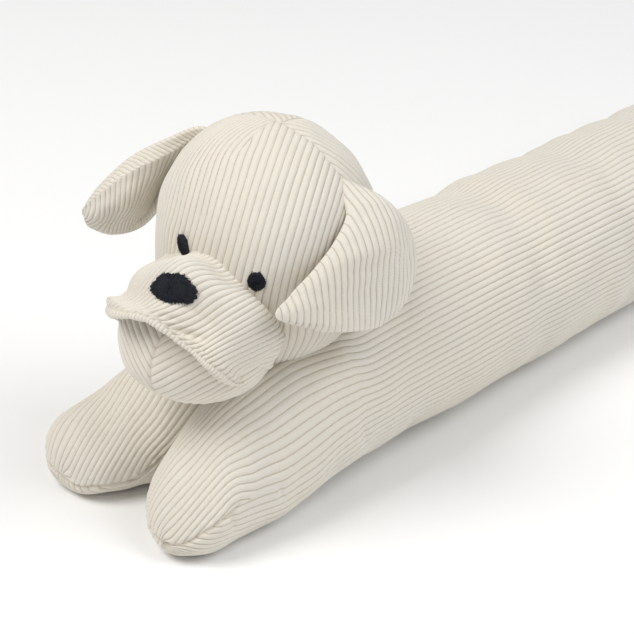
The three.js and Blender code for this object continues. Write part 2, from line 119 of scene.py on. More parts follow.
def place_of(*parts):
    """Places from their coordinates, which may be numbers, rows or columns of a grid."""
    return np.stack(np.broadcast_arrays(*parts), -1)


def unit(vectors):
    return vectors / np.maximum(np.linalg.norm(vectors, axis=-1, keepdims=True), 1e-9)


def arc_place(ball, pole, radius):
    """Distance over a ball from the great circle square to a pole, in mm."""
    return radius * np.arcsin(np.clip(ball @ np.array(pole), -1, 1))


# Skins: grids of points with faces, whose coincident points are joined

def grid_quads(rows, columns, first=0, wrap=False, flip=False):
    """Faces of a grid whose points are numbered row by row."""
    i = np.arange(rows - 1)[:, None]
    j = np.arange(columns if wrap else columns - 1)[None, :]
    a = first + i * columns + j
    b = first + i * columns + (j + 1) % columns
    quads = np.stack([a, b, b + columns, a + columns], -1).reshape(-1, 4)
    return quads[:, ::-1] if flip else quads


def normals_of(points, quads):
    a, b, c, d = points[quads.T]
    cross = np.cross(c - a, d - b)
    total = np.zeros_like(points)
    for k in range(3):
        for corner in quads.T:
            total[:, k] += np.bincount(corner, cross[:, k], len(points))
    return unit(total)


class Skin:
    """A surface of one or more grids. Values are given at the grids' points, before joining."""

    def __init__(self, points, grid_faces):
        key = np.floor(points / WELD + WELD_OFFSET).astype(np.int64)
        _, self.first, same = np.unique(key, axis=0, return_index=True, return_inverse=True)
        self.points = points[self.first]
        self.grid_faces = grid_faces
        self.faces = same.ravel()[grid_faces]

    def push(self, heights):
        """Moves the surface along its normals."""
        self.points = self.points + heights[self.first][:, None] * normals_of(self.points, self.faces)


def wale_height(phase):
    """Height over the groove of a rounded rib, 0 to 1, by place counted in ribs."""
    d = np.abs(phase - np.round(phase))
    wall = 1 - (1 - np.clip(d / GROOVE_SHARE, 0, 1)) ** 2
    return mix(np.sin(pi * d), wall, WALL_RISE)


# Mesh pieces

def make_mesh(name, points, faces, material):
    """A mesh of four-cornered faces; a corner that repeats the next one is left out."""
    kept = faces != np.roll(faces, -1, axis=1)
    kept &= (kept.sum(1) >= 3)[:, None]
    used, loops = np.unique(faces[kept], return_inverse=True)
    corners = kept.sum(1)
    corners = corners[corners > 0]
    starts = np.cumsum(corners) - corners
    placed = (points[used] + np.array([0, CENTRE_Y, 0])) * MM
    mesh = bpy.data.meshes.new(name)
    mesh.vertices.add(len(used))
    mesh.vertices.foreach_set("co", placed.astype(np.float32).ravel())
    mesh.loops.add(loops.size)
    mesh.loops.foreach_set("vertex_index", loops.ravel().astype(np.int32))
    mesh.polygons.add(len(corners))
    mesh.polygons.foreach_set("loop_start", starts.astype(np.int32))
    mesh.update(calc_edges=True)
    mesh.shade_smooth()
    mesh.materials.append(material)
    return mesh, kept, used


def set_attribute(mesh, name, domain, values):
    attribute = mesh.attributes.new(name, "FLOAT", domain)
    attribute.data.foreach_set("value", np.ascontiguousarray(values, np.float32).ravel())


def add_object(name, data):
    thing = bpy.data.objects.new(name, data)
    bpy.context.scene.collection.objects.link(thing)
    return thing


def add_piece(name, mesh, node):
    piece = add_object(name, mesh)
    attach(piece, "root")
    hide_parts(node)
    return piece


class Panels:
    """The cloth panels of a skin: places in ribs and along them, a row for each panel."""

    def __init__(self, rows, face_panel, point_panel):
        self.ribs, self.lies = (np.stack(values) for values in zip(*rows))
        self.face_panel = np.asarray(face_panel, int)
        self.point_panel = np.asarray(point_panel, int)


def press_ribs(skin, panels, seam, depth=WALE_DEPTH):
    """Sinks the grooves between the ribs into a skin, less deep beside its seams."""
    own_ribs = panels.ribs[panels.point_panel, np.arange(panels.ribs.shape[1])]
    sink = depth * (1 - wale_height(own_ribs))
    skin.push(-sink * (1 - SEAM_FLATTENS * np.clip(seam, 0, 1)))


def add_stuffed(name, node, skin, panels, seam, part=None):
    """A stuffed corduroy piece of a skin, or of the part of it whose faces are marked."""
    part = np.ones(len(skin.faces), bool) if part is None else part
    mesh, kept, used = make_mesh(name, skin.points, skin.faces[part], CORDUROY)
    for key, values in (("wale", panels.ribs), ("lie", panels.lies)):
        at_corners = values[panels.face_panel[:, None], skin.grid_faces]
        set_attribute(mesh, key, "CORNER", at_corners[part][kept])
    # The seam values darken seam lines, and on the far ear they also carry painted shade in its hollow
    set_attribute(mesh, "seam", "POINT", seam[skin.first][used])
    piece = add_piece(name, mesh, node)
    return piece


# Materials

class Nodes:
    """Short calls for building a material's nodes."""

    def __init__(self, name):
        self.material = bpy.data.materials.new(name)
        self.material.use_nodes = True
        self.tree = self.material.node_tree
        self.shader = self.tree.nodes["Principled BSDF"]

    def put(self, node, inputs):
        """Sets or links a node's inputs, by name or number, and gives back the node."""
        for key, value in inputs.items():
            if isinstance(value, bpy.types.NodeSocket):
                self.tree.links.new(value, node.inputs[key])
            else:
                node.inputs[key].default_value = value
        return node

    def new(self, kind, inputs=None):
        return self.put(self.tree.nodes.new("ShaderNode" + kind), inputs or {})

    def math(self, operation, *values):
        node = self.new("Math", dict(enumerate(values)))
        node.operation = operation
        return node.outputs[0]

    def attribute(self, name):
        node = self.new("Attribute")
        node.attribute_name = name
        return node.outputs["Fac"]

    def noise(self, scale, detail=2.0):
        place = self.new("TexCoord").outputs["Object"]
        return self.new("TexNoise", {"Vector": place, "Scale": scale, "Detail": detail}).outputs["Fac"]

    def ramp(self, value, low, high, start=0.0, end=1.0):
        limits = {"From Min": low, "From Max": high, "To Min": start, "To Max": end}
        node = self.new("MapRange", {"Value": value, **limits})
        node.interpolation_type = "SMOOTHSTEP"
        return node.outputs["Result"]

    def blend(self, share, first, second):
        """A mix of two colours by a share from 0 to 1."""
        node = self.new("Mix")
        node.data_type = "RGBA"
        colours = [k for k, socket in enumerate(node.inputs) if socket.type == "RGBA"]
        self.put(node, {"Factor": share, colours[0]: first, colours[1]: second})
        return next(socket for socket in node.outputs if socket.type == "RGBA")

    def relief(self, height, distance, strength, **under):
        inputs = {"Height": height, "Distance": distance, "Strength": strength, **under}
        return self.new("Bump", inputs).outputs["Normal"]


CREAM_CREST = (0.755, 0.71, 0.625, 1)
CREAM_COOL = (0.74, 0.705, 0.635, 1)
CREAM_NAP = (0.60, 0.54, 0.45, 1)
# A brown for painted shade in the grooves and in the far ear's hollow, and for the seams' darker lines
CREAM_GROOVE_SEAM_AND_SHADE = (0.42, 0.345, 0.25, 1)
BLACK_THREAD, WORN_THREAD = (0.004, 0.0045, 0.007, 1), (0.016, 0.019, 0.032, 1)
THREAD_PITCH = 1.15
RIB_WAVER = 0.08  # how far a groove's line strays in all, in ribs
NAP_SHADE, SEAM_AND_HOLLOW_SHADE = 0.15, 0.3


def corduroy_material():
    """Brushed pile ribs with narrow grooves between them, darker partly for their thinner pile and partly
    by painted shade, with fine nap and cross threads.
    """
    n = Nodes("corduroy")
    waver = n.math("MULTIPLY_ADD", n.noise(scale=260, detail=1.0), RIB_WAVER, -RIB_WAVER / 2)
    off = n.math("PINGPONG", n.math("ADD", n.attribute("wale"), waver), 0.5)
    groove = n.ramp(off, low=0.01, high=0.125, start=1.0, end=0.0)
    crest = n.ramp(off, low=0.0, high=0.34)
    threads = n.math("SINE", n.math("MULTIPLY", n.attribute("lie"), 2 * pi / THREAD_PITCH))
    nap = n.noise(scale=1500, detail=3.0)
    clumps = n.noise(scale=330)
    cloth = n.blend(n.ramp(n.noise(scale=16), low=0.35, high=0.65), CREAM_CREST, CREAM_COOL)
    fuzz = n.math("ADD", n.math("MULTIPLY", nap, 0.6), n.math("MULTIPLY", clumps, 0.4))
    cloth = n.blend(n.ramp(fuzz, low=0.3, high=0.7, start=NAP_SHADE, end=0.0), cloth, CREAM_NAP)
    # The grooves' darkening is painted shade in the recess between the ribs, with some for the thinner
    # pile there
    groove_shade = n.math("MULTIPLY", groove, n.ramp(clumps, low=0.2, high=0.7, start=0.44, end=0.70))
    cloth = n.blend(groove_shade, cloth, CREAM_GROOVE_SEAM_AND_SHADE)
    # The seam values darken the seams' lines, and on the far ear they also carry painted shade in its
    # hollow
    cloth = n.blend(n.math("MULTIPLY", n.attribute("seam"), SEAM_AND_HOLLOW_SHADE), cloth, CREAM_GROOVE_SEAM_AND_SHADE)
    ribs = n.relief(crest, distance=0.0005, strength=0.4)
    pile = n.math("ADD", n.math("MULTIPLY", threads, 0.16), n.math("ADD", nap, clumps))
    n.put(n.shader, {
        "Base Color": cloth, "Normal": n.relief(pile, distance=0.00035, strength=0.5, Normal=ribs),
        "Roughness": 0.92, "Specular IOR Level": 0.15,
        "Sheen Weight": 0.10, "Sheen Roughness": 0.45, "Sheen Tint": (1.0, 0.98, 0.95, 1),
    })
    return n.material


def thread_material():
    """Matte black thread with a faint blue sheen."""
    n = Nodes("black_thread")
    strands = n.noise(scale=900, detail=3.0)
    colour = n.blend(n.ramp(strands, low=0.4, high=0.75), BLACK_THREAD, WORN_THREAD)
    n.put(n.shader, {
        "Base Color": colour, "Normal": n.relief(strands, distance=0.0003, strength=0.6),
        "Roughness": 0.62, "Specular IOR Level": 0.3,
        "Sheen Weight": 0.12, "Sheen Tint": (0.55, 0.62, 0.9, 1),
    })
    return n.material


CORDUROY = corduroy_material()
THREAD = thread_material()


# The body: a trunk that runs on into two legs

LENGTH = 906.0
REAR_X = LENGTH / 2
BODY_SHIFT = 3.0
HALF_WIDTH, HALF_HEIGHT, BODY_SINK = 81.0, 76.5, 4.0
HALF_WALES = 47
PUCKER_DEPTH, PUCKER_WIDTH = 3.2, 17.0
PUCKERS_X = (-88, 28, 142, 255, 360)
TAIL_DOME, TAIL_RIM_SCALE, TAIL_ROUND, TAIL_ROUNDNESS = 12.0, 0.82, 40.0, 2.4
TAIL_RINGS, TAIL_SPOKES, TAIL_DOME_POWER = 40, 188, 2.2
TAIL_HEM, TAIL_HEM_DEPTH = 0.985, 5.0  # the panel's edge, turned in at this share of its radius
TAIL_TIGHT = 12.0  # how far in from its rim the tail's panel stays even
SHOULDER_START_X, SHOULDER_END_X = -200.0, -300.0
SPLIT_START_X, CROTCH_X = -276.0, -372.0
CROTCH_BLEND = 0.15
FREE_START_X, FREE_END_X = -345.0, -385.0  # where the ribs at the legs' middle come free to drift
MIDDLE_HELD = 0.3  # how far round from the middle the ribs are held before, in radians
LEG_SINK, PAW_TIP_Z = 3.0, 16.0
TRUNK_STEP, LEG_STEP, CAP_ROWS = 6.4, 1.2, 41
FLOOR_SOFTNESS = 2.5
SOLE_SEAM_WIDTH, TAIL_SEAM_WIDTH, BODY_SEAM_SINK = 1.6, 2.0, 1.5
SOLE_SHOWN = (-0.2, 0.4)  # the shares across the leg between which the sole's seam comes to its table
SEAM_FADE = (-1, 6)  # where the sole's seam grows from its end, in mm toward the paw's tip
SOLE_PUCKERS = (0.4, 8.0)  # height and reach of the puckers beside the sole's seam
SHOULDERS = table("x top half", (-300, 147, 83), (-335, 141, 84), (-372, 118, 82))
LEG_NEAR = table(
    "x centre half top shift",
    (-300, 41, 42, 146, 0), (-345, 40, 42, 134, -0.9), (-372, 38, 41, 117, -0.6),
    (-392, 35, 39.5, 101, 0.4), (-410, 34, 38.5, 85, 1.6), (-426, 33, 38.5, 72, 3.2),
    (-439, 33, 38.5, 63, 4.6), (-452, 33, 38.5, 55, 6.2),
)
LEG_FAR = table(
    "x centre half top shift",
    (-300, 42, 42, 146, 0), (-345, 44, 42, 129, 0.4), (-372, 48, 41.5, 105, 1.2),
    (-392, 58, 41, 86, 2.9), (-410, 68, 40.5, 69, 4.8), (-426, 75, 40.5, 60, 6.1),
    (-439, 78, 40.5, 57, 6.6), (-452, 79, 40.5, 55, 6.8),
)
# shows is 1 where the leg's outer side faces the viewer and -1 where its inner side does. A panel's
# straight ribs pass through a place at x, outward and up, where the leg's own ribs are counted by
# turn, and their count grows by slope for each rib's width. They take over between two x places, and
# between two shares of the way across the leg.
PAWS = {
    -1: {
        "rows": LEG_NEAR, "start": -408.0, "tip": -450.0, "power": 2.2, "shows": 1,
        "seam": table("x z", (-453, 15), (-447, 21), (-438, 31), (-424, 41), (-408, 50)),
        "upper": {"at": (-408, 34, 85), "turn": 0.25, "slope": (0.287, 1, -0.638),
                  "x": (-395, -420), "side": (-0.5, 0.3)},
        "lower": {"at": (-408, 71, 41), "turn": 0.5, "slope": (0, -0.26, -1),
                  "x": (-408, -433), "side": (0.1, 0.7)},
    },
    1: {
        "rows": LEG_FAR, "start": -410.0, "tip": -452.5, "power": 2.8, "shows": -1,
        "seam": table("x z", (-453, 13), (-445, 18), (-422, 19), (-411, 28), (-398, 38)),
        "upper": {"at": (-410, 68, 69), "turn": 0.25, "slope": (-0.495, 1, 0.495),
                  "x": (-395, -420), "side": (-0.5, 0.3)},
        "lower": {"at": (-405, 29, 0), "turn": 1.0, "slope": (-0.29, -0.957, 0),
                  "x": (-398, -423), "side": (-0.6, 0.2)},
    },
}
# Short pinches in the near side, where a thread draws the cloth in: x, z, reach up, depth and width
PINCHES = (
    (-416, 37, 11, 1.6, 2.2), (-377, 45, 8, 1.3, 2.0), (-238, 33, 14, 1.8, 3.2), (-300, 60, 10, 0.9, 2.6),
)
PINCH_SLANT, PINCHED_Y = 0.25, -20.0


def pucker(x):
    return -PUCKER_DEPTH * sum(bump(x - at, PUCKER_WIDTH) for at in PUCKERS_X)


def trunk_points(x, t, side):
    rear = np.maximum(0, (x - (REAR_X - TAIL_DOME - TAIL_ROUND)) / TAIL_ROUND)
    scale = mix(1, TAIL_RIM_SCALE, rear ** TAIL_ROUNDNESS)
    front = smooth(x, SHOULDER_START_X, SHOULDER_END_X)
    top = mix(2 * HALF_HEIGHT - BODY_SINK, read(SHOULDERS, "top", x), front) * scale + pucker(x)
    a = mix(HALF_WIDTH, read(SHOULDERS, "half", x), front) * scale + pucker(x)
    b, centre_z = (top + BODY_SINK) / 2, (top - BODY_SINK) / 2
    return place_of(x, side * a * np.sin(t), centre_z + b * np.cos(t))


def paw_closure(x, paw):
    share = np.clip((paw["start"] - x) / (paw["start"] - paw["tip"]), 0, 1)
    return (1 - share ** paw["power"]) ** (1 / paw["power"])


def leg_middle_z(x, paw):
    return mix(PAW_TIP_Z, (read(paw["rows"], "top", x) - LEG_SINK) / 2, paw_closure(x, paw))


def leg_points(x, t, side):
    paw = PAWS[side]
    rows, close = paw["rows"], paw_closure(x, paw)
    a = read(rows, "half", x) * close
    b = (read(rows, "top", x) + LEG_SINK) / 2 * close
    y = side * (read(rows, "centre", x) - a * np.cos(2 * t))
    return place_of(x, y, leg_middle_z(x, paw) + b * np.sin(2 * t))


def body_half(side):
    """One side's grid of points, from the tail's rim to the paw's tip, and its turn round the side."""
    paw = PAWS[side]
    trunk_x = np.arange(REAR_X - TAIL_DOME, SPLIT_START_X, -TRUNK_STEP)
    leg_x = np.arange(SPLIT_START_X, paw["start"], -LEG_STEP)
    cap = np.sin(np.linspace(0, pi / 2, CAP_ROWS))
    x = np.concatenate([trunk_x, leg_x, mix(paw["start"], paw["tip"], cap)])[:, None]
    t = np.linspace(0, pi, HALF_WALES * SAMPLES + 1)[None, :]
    leg_share = smooth(x, SPLIT_START_X, CROTCH_X)[..., None]
    points = mix(trunk_points(x, t, side), leg_points(x, t, side), leg_share)
    return points, np.broadcast_to(t, points.shape[:2])


def join_halves(halves):
    """Brings the two sides together along the middle, above and below, as far as the crotch."""
    (near, turn), (far, _) = halves
    count = (near[:, 0, 0] > CROTCH_X).sum()
    for column in (0, -1):
        fade = bump(turn[0] - turn[0, column], CROTCH_BLEND)[None, :, None]
        middle = (near[:count, column] + far[:count, column]) / 2
        for half in (near, far):
            half[:count] += (middle - half[:count, column])[:, None] * fade


def straight_ribs(paw, panel, place):
    start = HALF_WALES * panel["turn"] + read(paw["rows"], "shift", panel["at"][0])
    return start + (place - panel["at"]) @ np.array(panel["slope"]) / WALE_PITCH


def side_panels(points, t, side):
    """Places in ribs along the body and on the paw's upper and lower panel, then height above the sole's
    seam, distance past the seam's end and the seam itself."""
    paw = PAWS[side]
    rows, shows = paw["rows"], paw["shows"]
    x, y, z = np.moveaxis(points, -1, 0)
    out = side * y
    # The ribs of the legs drift round them toward the paws, but stay put along the body's middle
    held = smooth(np.minimum(t, pi - t), 0, MIDDLE_HELD)
    shift = read(rows, "shift", x) * mix(held, 1, smooth(x, FREE_START_X, FREE_END_X))
    per_radian = HALF_WALES / pi
    across = np.clip((out - read(rows, "centre", x)) / read(rows, "half", x), -1, 1)
    shown = across * shows
    level = per_radian / 2 * np.arccos(-across)
    from_inside = per_radian * np.where((t > pi / 2) & (shows < 0), t - pi, t)
    upper = np.where(shown > 0, from_inside, level) + shift
    lower = np.where(shown > 0, per_radian * t, HALF_WALES - level) + shift
    straightened = []
    for own, panel in ((upper, paw["upper"]), (lower, paw["lower"])):
        share = smooth(x, *panel["x"]) * smooth(shown, *panel["side"])
        straightened.append(mix(own, straight_ribs(paw, panel, place_of(x, out, z)), share))
    edge = mix(leg_middle_z(x, paw), read(paw["seam"], "z", x), smooth(shown, *SOLE_SHOWN))
    above = z - edge
    seam_end = paw["seam"]["x"][-1]
    past_end = smooth(seam_end - x, *SEAM_FADE)
    along = per_radian * t + shift
    return np.stack([along, *straightened, above, seam_end - x, bump(above, SOLE_SEAM_WIDTH) * past_end])


def tail_panel():
    """The round panel that closes the tail, turned in at its rim, with its distance from the rim."""
    radius = np.concatenate([[TAIL_HEM], np.linspace(1.0, 0.0, TAIL_RINGS)])[:, None]
    turn = np.linspace(0, 2 * pi, TAIL_SPOKES + 1)[None, :]
    rim_x = REAR_X - TAIL_DOME
    rim = trunk_points(np.full((1, 1), rim_x), turn, 1)[0]
    middle = np.array([REAR_X, 0, rim[:, 2].max() / 2])
    points = middle + (rim[None] - middle) * radius[..., None]
    points[..., 0] = REAR_X - TAIL_DOME * radius ** TAIL_DOME_POWER
    points[0, :, 0] = rim_x - TAIL_HEM_DEPTH
    gap = HALF_HEIGHT * (1 - radius) + 0 * turn
    gap[0] = 0
    return points, gap


def rest_on_floor(points):
    """Lets the underside spread on the floor, with a soft turn at the edge of the flat."""
    z = points[:, 2]
    spread = FLOOR_SOFTNESS * np.exp(np.minimum(z / FLOOR_SOFTNESS - 1, 0))
    points[:, 2] = np.where(z > FLOOR_SOFTNESS, z, spread)


def pinch_depth(points):
    x, y, z = points.T
    total = np.zeros(len(points))
    for at_x, at_z, reach, depth, width in PINCHES:
        total += depth * bump(x - at_x + PINCH_SLANT * (z - at_z), width) * bump(z - at_z, reach)
    return total * (y < PINCHED_Y)


def panel_of(x, above, past):
    """0 along the body, 1 over the paw, 2 under its sole seam."""
    over = (x < PAWS[1]["upper"]["x"][0]) & (above >= 0)
    return np.where((past > 0) & (above < 0), 2, np.where(over, 1, 0))


def add_body():
    """The two sides and the tail's panel, one skin that is parted into three pieces."""
    halves = [body_half(-1), body_half(1)]
    join_halves(halves)
    tail, rim_gap = tail_panel()
    grids = [halves[0][0], halves[1][0], tail]
    faces, whose, first = [], [], 0
    for side, points in zip((-1, 1, 0), grids):
        faces.append(grid_quads(*points.shape[:2], first, flip=side < 0))
        whose.append(np.full(len(faces[-1]), side))
        first += points[..., 0].size
    faces, whose = np.concatenate(faces), np.concatenate(whose)
    grid = np.concatenate([points.reshape(-1, 3) for points in grids])
    sides = [side_panels(points, t, side) for side, (points, t) in zip((-1, 1), halves)]
    sides.append(np.zeros((len(sides[0]), *rim_gap.shape)))
    *ribs, above, past, seam = np.concatenate([values.reshape(len(values), -1) for values in sides], 1)
    in_tail = np.arange(len(grid)) >= len(grid) - rim_gap.size
    seam[in_tail] = bump(rim_gap, TAIL_SEAM_WIDTH).ravel()
    slack = np.full(len(grid), HALF_HEIGHT)
    slack[in_tail] = rim_gap.ravel()

    own = panel_of(grid[faces, 0].mean(1), above[faces].mean(1), past[faces].mean(1))
    lie = grid[:, 0] + grid[:, 2]
    panels = Panels(
        [(places, lie) for places in (*ribs, grid[:, 1] / WALE_PITCH)],
        np.where(whose == 0, 3, own),
        np.where(in_tail, 3, panel_of(grid[:, 0], above, past)),
    )

    skin = Skin(grid, faces)
    soft = uneven(grid, 3, (1.1, (150, 90)), (0.45, (38, 26))) * smooth(slack, 0, TAIL_TIGHT)
    near_sole = ridge(above, SOLE_PUCKERS) * (past > 0)
    soft -= BODY_SEAM_SINK * seam + near_sole * waves(grid, 5, (9, 7)) + pinch_depth(grid)
    skin.push(soft)
    press_ribs(skin, panels, seam)
    rest_on_floor(skin.points)
    skin.points[:, 1] += BODY_SHIFT
    for name, side in (("body_near_cloth", -1), ("body_far_cloth", 1), ("tail_cloth", 0)):
        add_stuffed(name, "body", skin, panels, seam, whose == side)


add_body()


# The head's own directions, and its ball drawn down into a neck

HEAD_YAW, HEAD_TILT = radians(13), radians(7)
WORLD_UP = np.array([0.0, 0.0, 1.0])
FORWARD = np.array([-cos(HEAD_YAW), -sin(HEAD_YAW), 0.0])
LEVEL_LEFT = np.array([sin(HEAD_YAW), -cos(HEAD_YAW), 0.0])
LEFT = LEVEL_LEFT * cos(HEAD_TILT) - WORLD_UP * sin(HEAD_TILT)
UP = WORLD_UP * cos(HEAD_TILT) + LEVEL_LEFT * sin(HEAD_TILT)
HEAD_CENTRE = np.array([-320.0, 0.0, 208.0])
HEAD_RADIUS, NECK_DEPTH, NECK_FULLNESS, NECK_LOWEST = 76.0, 100.0, 3.0, 0.97
HEAD_WALES = 46  # ribs over half the ball
HEAD_ROWS, NECK_ROWS = 101, 30
CROWN_SEAM = -7.0
DART_LEFT, DART_START = -5.2, radians(59)
FACE_POLE = (-0.38, 0.918, -0.11)  # forward, left and up; the face's ribs are slices square to it
FACE_POLE_AZIMUTH = radians(22.5)  # how far that pole lies back from straight left
LEAN_PER_MM, LEAN_SIDEWAYS = 0.010, 0.8
BACK_TURN = radians(38)
# Where the ribs come to hang: over the dog's right cheek, down the neck and, by azimuth, behind it
CHEEK_HANGS, CHEEK_TOP, NECK_HANGS = (10, 45), 25, (30, 75)
BACK_HANGS = (radians(75), radians(105))
HEAD_SEAM_WIDTH, HEAD_SEAM_SINK = 1.3, 0.8
SEAM_SWELL, SEAM_SWELL_AT = (0.3, 5.0), 6.0  # height, width and distance of the swelling beside a seam
DART_DENT = (0.45, 3.0)
NECK_TUCK, NECK_TUCK_FADE = 5.0, (-2, 9)  # how deep the neck's end is drawn in, and where that ends


def on_head(forward, left, up):
    return HEAD_CENTRE + place_of(forward, left, up) @ np.stack([FORWARD, LEFT, UP])


def girth_radius(up):
    share = np.clip(-up / NECK_DEPTH, 0, NECK_LOWEST)
    neck = HEAD_RADIUS * (1 - share ** NECK_FULLNESS) ** (1 / NECK_FULLNESS)
    return np.where(up >= 0, np.sqrt(np.maximum(HEAD_RADIUS ** 2 - up ** 2, 0)), neck)


def head_grids():
    """Forward, left and up over the ball's upper half and down the neck, with the neck's azimuth."""
    columns = HEAD_WALES * FINE_SAMPLES
    angle = np.linspace(0, pi, columns + 1)[None, :]
    level = HEAD_RADIUS * np.sin(angle)
    seam_turn = pi / 2 + np.arcsin(np.minimum(-CROWN_SEAM / np.maximum(level, 1), 0.8))
    share = np.linspace(0, 1, HEAD_ROWS)[:, None]
    turn = np.concatenate([seam_turn * share, mix(seam_turn, pi, share[1:])])
    top = place_of(level * np.cos(turn), HEAD_RADIUS * np.cos(angle), level * np.sin(turn))
    azimuth = pi / 2 - np.linspace(0, 2 * pi, 2 * columns + 1)
    up = -np.linspace(0, NECK_DEPTH * NECK_LOWEST, NECK_ROWS)[:, None]
    radius = girth_radius(up)
    neck = place_of(radius * np.cos(azimuth), radius * np.sin(azimuth), up)
    return top, neck, np.broadcast_to(azimuth, neck.shape[:2])


def head_panels(place, azimuth):
    """Places in ribs on the face with the neck, and on the back of the head, and along them."""
    forward, left, up = place.T
    per_radian = HEAD_WALES / pi
    ball = unit(place)
    upper = up >= 0
    turn = np.arctan2(up, forward)
    round_neck = (azimuth - FACE_POLE_AZIMUTH) * per_radian
    face = arc_place(ball, FACE_POLE, per_radian)
    past = HEAD_RADIUS * (turn - DART_START) + LEAN_SIDEWAYS * (DART_LEFT - left)
    lean = LEAN_PER_MM * np.maximum(0, past) ** 2 / WALE_PITCH
    face = face - np.where((left < DART_LEFT) & upper, lean, 0)
    # The dog's right cheek, the neck's lower part and its back hang in ribs straight down
    hang = smooth(-left, *CHEEK_HANGS) * (1 - smooth(up, 0, CHEEK_TOP))
    hang = np.maximum(hang, smooth(-up, *NECK_HANGS))
    hang = np.maximum(hang, smooth(np.abs(azimuth), *BACK_HANGS) * (up < 0))
    face = mix(face, round_neck, hang)
    side = np.where(left >= 0, 1.0, -1.0)
    pole = ball[:, 0] * cos(BACK_TURN) + side * ball[:, 1] * sin(BACK_TURN)
    from_pole = side * (np.arccos(np.clip(pole, -1, 1)) + BACK_TURN)
    back = (from_pole - FACE_POLE_AZIMUTH) * per_radian
    lie = np.where(upper, HEAD_RADIUS * turn * np.hypot(ball[:, 0], ball[:, 2]), up)
    return [(face, lie), (back, lie)]


def body_top(x, y):
    """Height of the body's back under a place on the neck."""
    across = np.clip((y - BODY_SHIFT) / read(SHOULDERS, "half", x), -1, 1)
    return read(SHOULDERS, "top", x) / 2 * (1 + np.sqrt(1 - across ** 2))


def add_head():
    top, neck, neck_azimuth = head_grids()
    first = top[..., 0].size
    place = np.concatenate([top.reshape(-1, 3), neck.reshape(-1, 3)])
    faces = np.concatenate([grid_quads(*top.shape[:2], flip=True), grid_quads(*neck.shape[:2], first)])
    forward, left, up = place.T
    azimuth = np.concatenate([np.arctan2(left, forward)[:first], neck_azimuth.ravel()])
    in_neck = np.arange(len(place)) >= first
    back = (forward < CROWN_SEAM) & ~in_neck
    face_back = (forward[faces].mean(1) < CROWN_SEAM) & ~in_neck[faces[:, 0]]
    panels = Panels(head_panels(place, azimuth), face_back, back)

    turn = np.arctan2(up, forward)
    dart = np.hypot(left - DART_LEFT, np.maximum(0, HEAD_RADIUS * (DART_START - turn)))
    dart = np.where((forward > CROWN_SEAM) & ~in_neck, dart, np.inf)
    crown = np.where(in_neck, np.inf, np.abs(forward - CROWN_SEAM))
    gap = np.minimum(crown, np.where(back, np.abs(left), np.inf))
    seam = bump(gap, HEAD_SEAM_WIDTH)

    grid = on_head(forward, left, up)
    skin = Skin(grid, faces)
    soft = uneven(grid, 11, (1.0, (90, 60)), (0.35, (30, 22)))
    soft += ridge(gap - SEAM_SWELL_AT, SEAM_SWELL) - HEAD_SEAM_SINK * seam - ridge(dart, DART_DENT)
    above_body = grid[:, 2] - body_top(grid[:, 0], grid[:, 1])
    soft -= NECK_TUCK * (1 - smooth(above_body, *NECK_TUCK_FADE)) ** 1.5
    skin.push(soft)
    press_ribs(skin, panels, seam)
    add_stuffed("head_cloth", "head", skin, panels, seam * 0.3)


add_head()


# The upper muzzle: an arch of cloth from jowl to jowl, rolled under at the lip

MUZZLE = table(
    "u seamAcross seamUp lipAcross lipForward lipUp",
    (0, -46, -62, -50, 80, -68), (0.1, -47, -34, -50, 99, -52), (0.22, -41, -17, -45, 116, -34),
    (0.35, -26, -5, -30, 130, -21), (0.5, 1, 9.5, 0, 131, -13), (0.65, 28, -2, 27, 122, -28),
    (0.78, 43, -18, 43, 119, -38), (0.9, 53, -37, 51, 102, -57), (1, 43, -64, 47, 80, -70),
)
MUZZLE_WALES = 38
MUZZLE_SPAN, MUZZLE_REACH = 185.0, 78.0
MUZZLE_RISE, MUZZLE_RISE_END, LIP_FLARE = 12.0, 0.64, 3.5
MUZZLE_RISE_LATE, MUZZLE_RISE_EARLY = 1.4, 0.7  # how late the dome rises at the dog's right and left
RIGHT_FULLNESS, LEFT_FULLNESS = 0.4, 0.7  # the dome's share of its rise at either end
MUZZLE_PROUD = 1.0  # how far the muzzle's cloth stands over the face at its seam
RIB_SHEAR, RIB_SHEAR_FALL = 0.44, 0.40  # how far the ribs slide across from the lip to the face seam
RIB_SHEAR_POWER = 0.85
LIP_STITCH, LIP_TUCK = 0.985, 16.0
LIP_ROLL_LOBE, LIP_ROLL = 3.6, 2.6  # the rolled lip's radius at its padded lobe and elsewhere
LIP_ROLL_THIN = 0.4  # the share of that radius at the lip's ends
LIP_ROLL_DROP = 1.15
ROLL_V, TUCK_V, HEM_V = (1.0, 1.14), (1.2, 1.4), 1.13  # v goes on round the lip's roll and along the tuck
# The padded lobe of the lip on the dog's right, by u, and its padding's height and width by v
LOBE_U, LOBE_WIDTH, LOBE_ENDS, LOBE_V, LOBE_PAD = 0.27, 0.13, (0.36, 0.46), 0.9, (4.4, 7.5)
STITCH_WIDTH, HEM_WIDTH = 1.5, 1.6
GATHER_SWELL = (1.0, 3.0)  # height and width of the swelling above the stitches
FINGERS, BEADS = 0.8, 0.3  # height of the gathered ribs above the lip's stitches and below them
SKIN_ROWS, ROLL_ROWS, TUCK_ROWS = 96, 24, 9


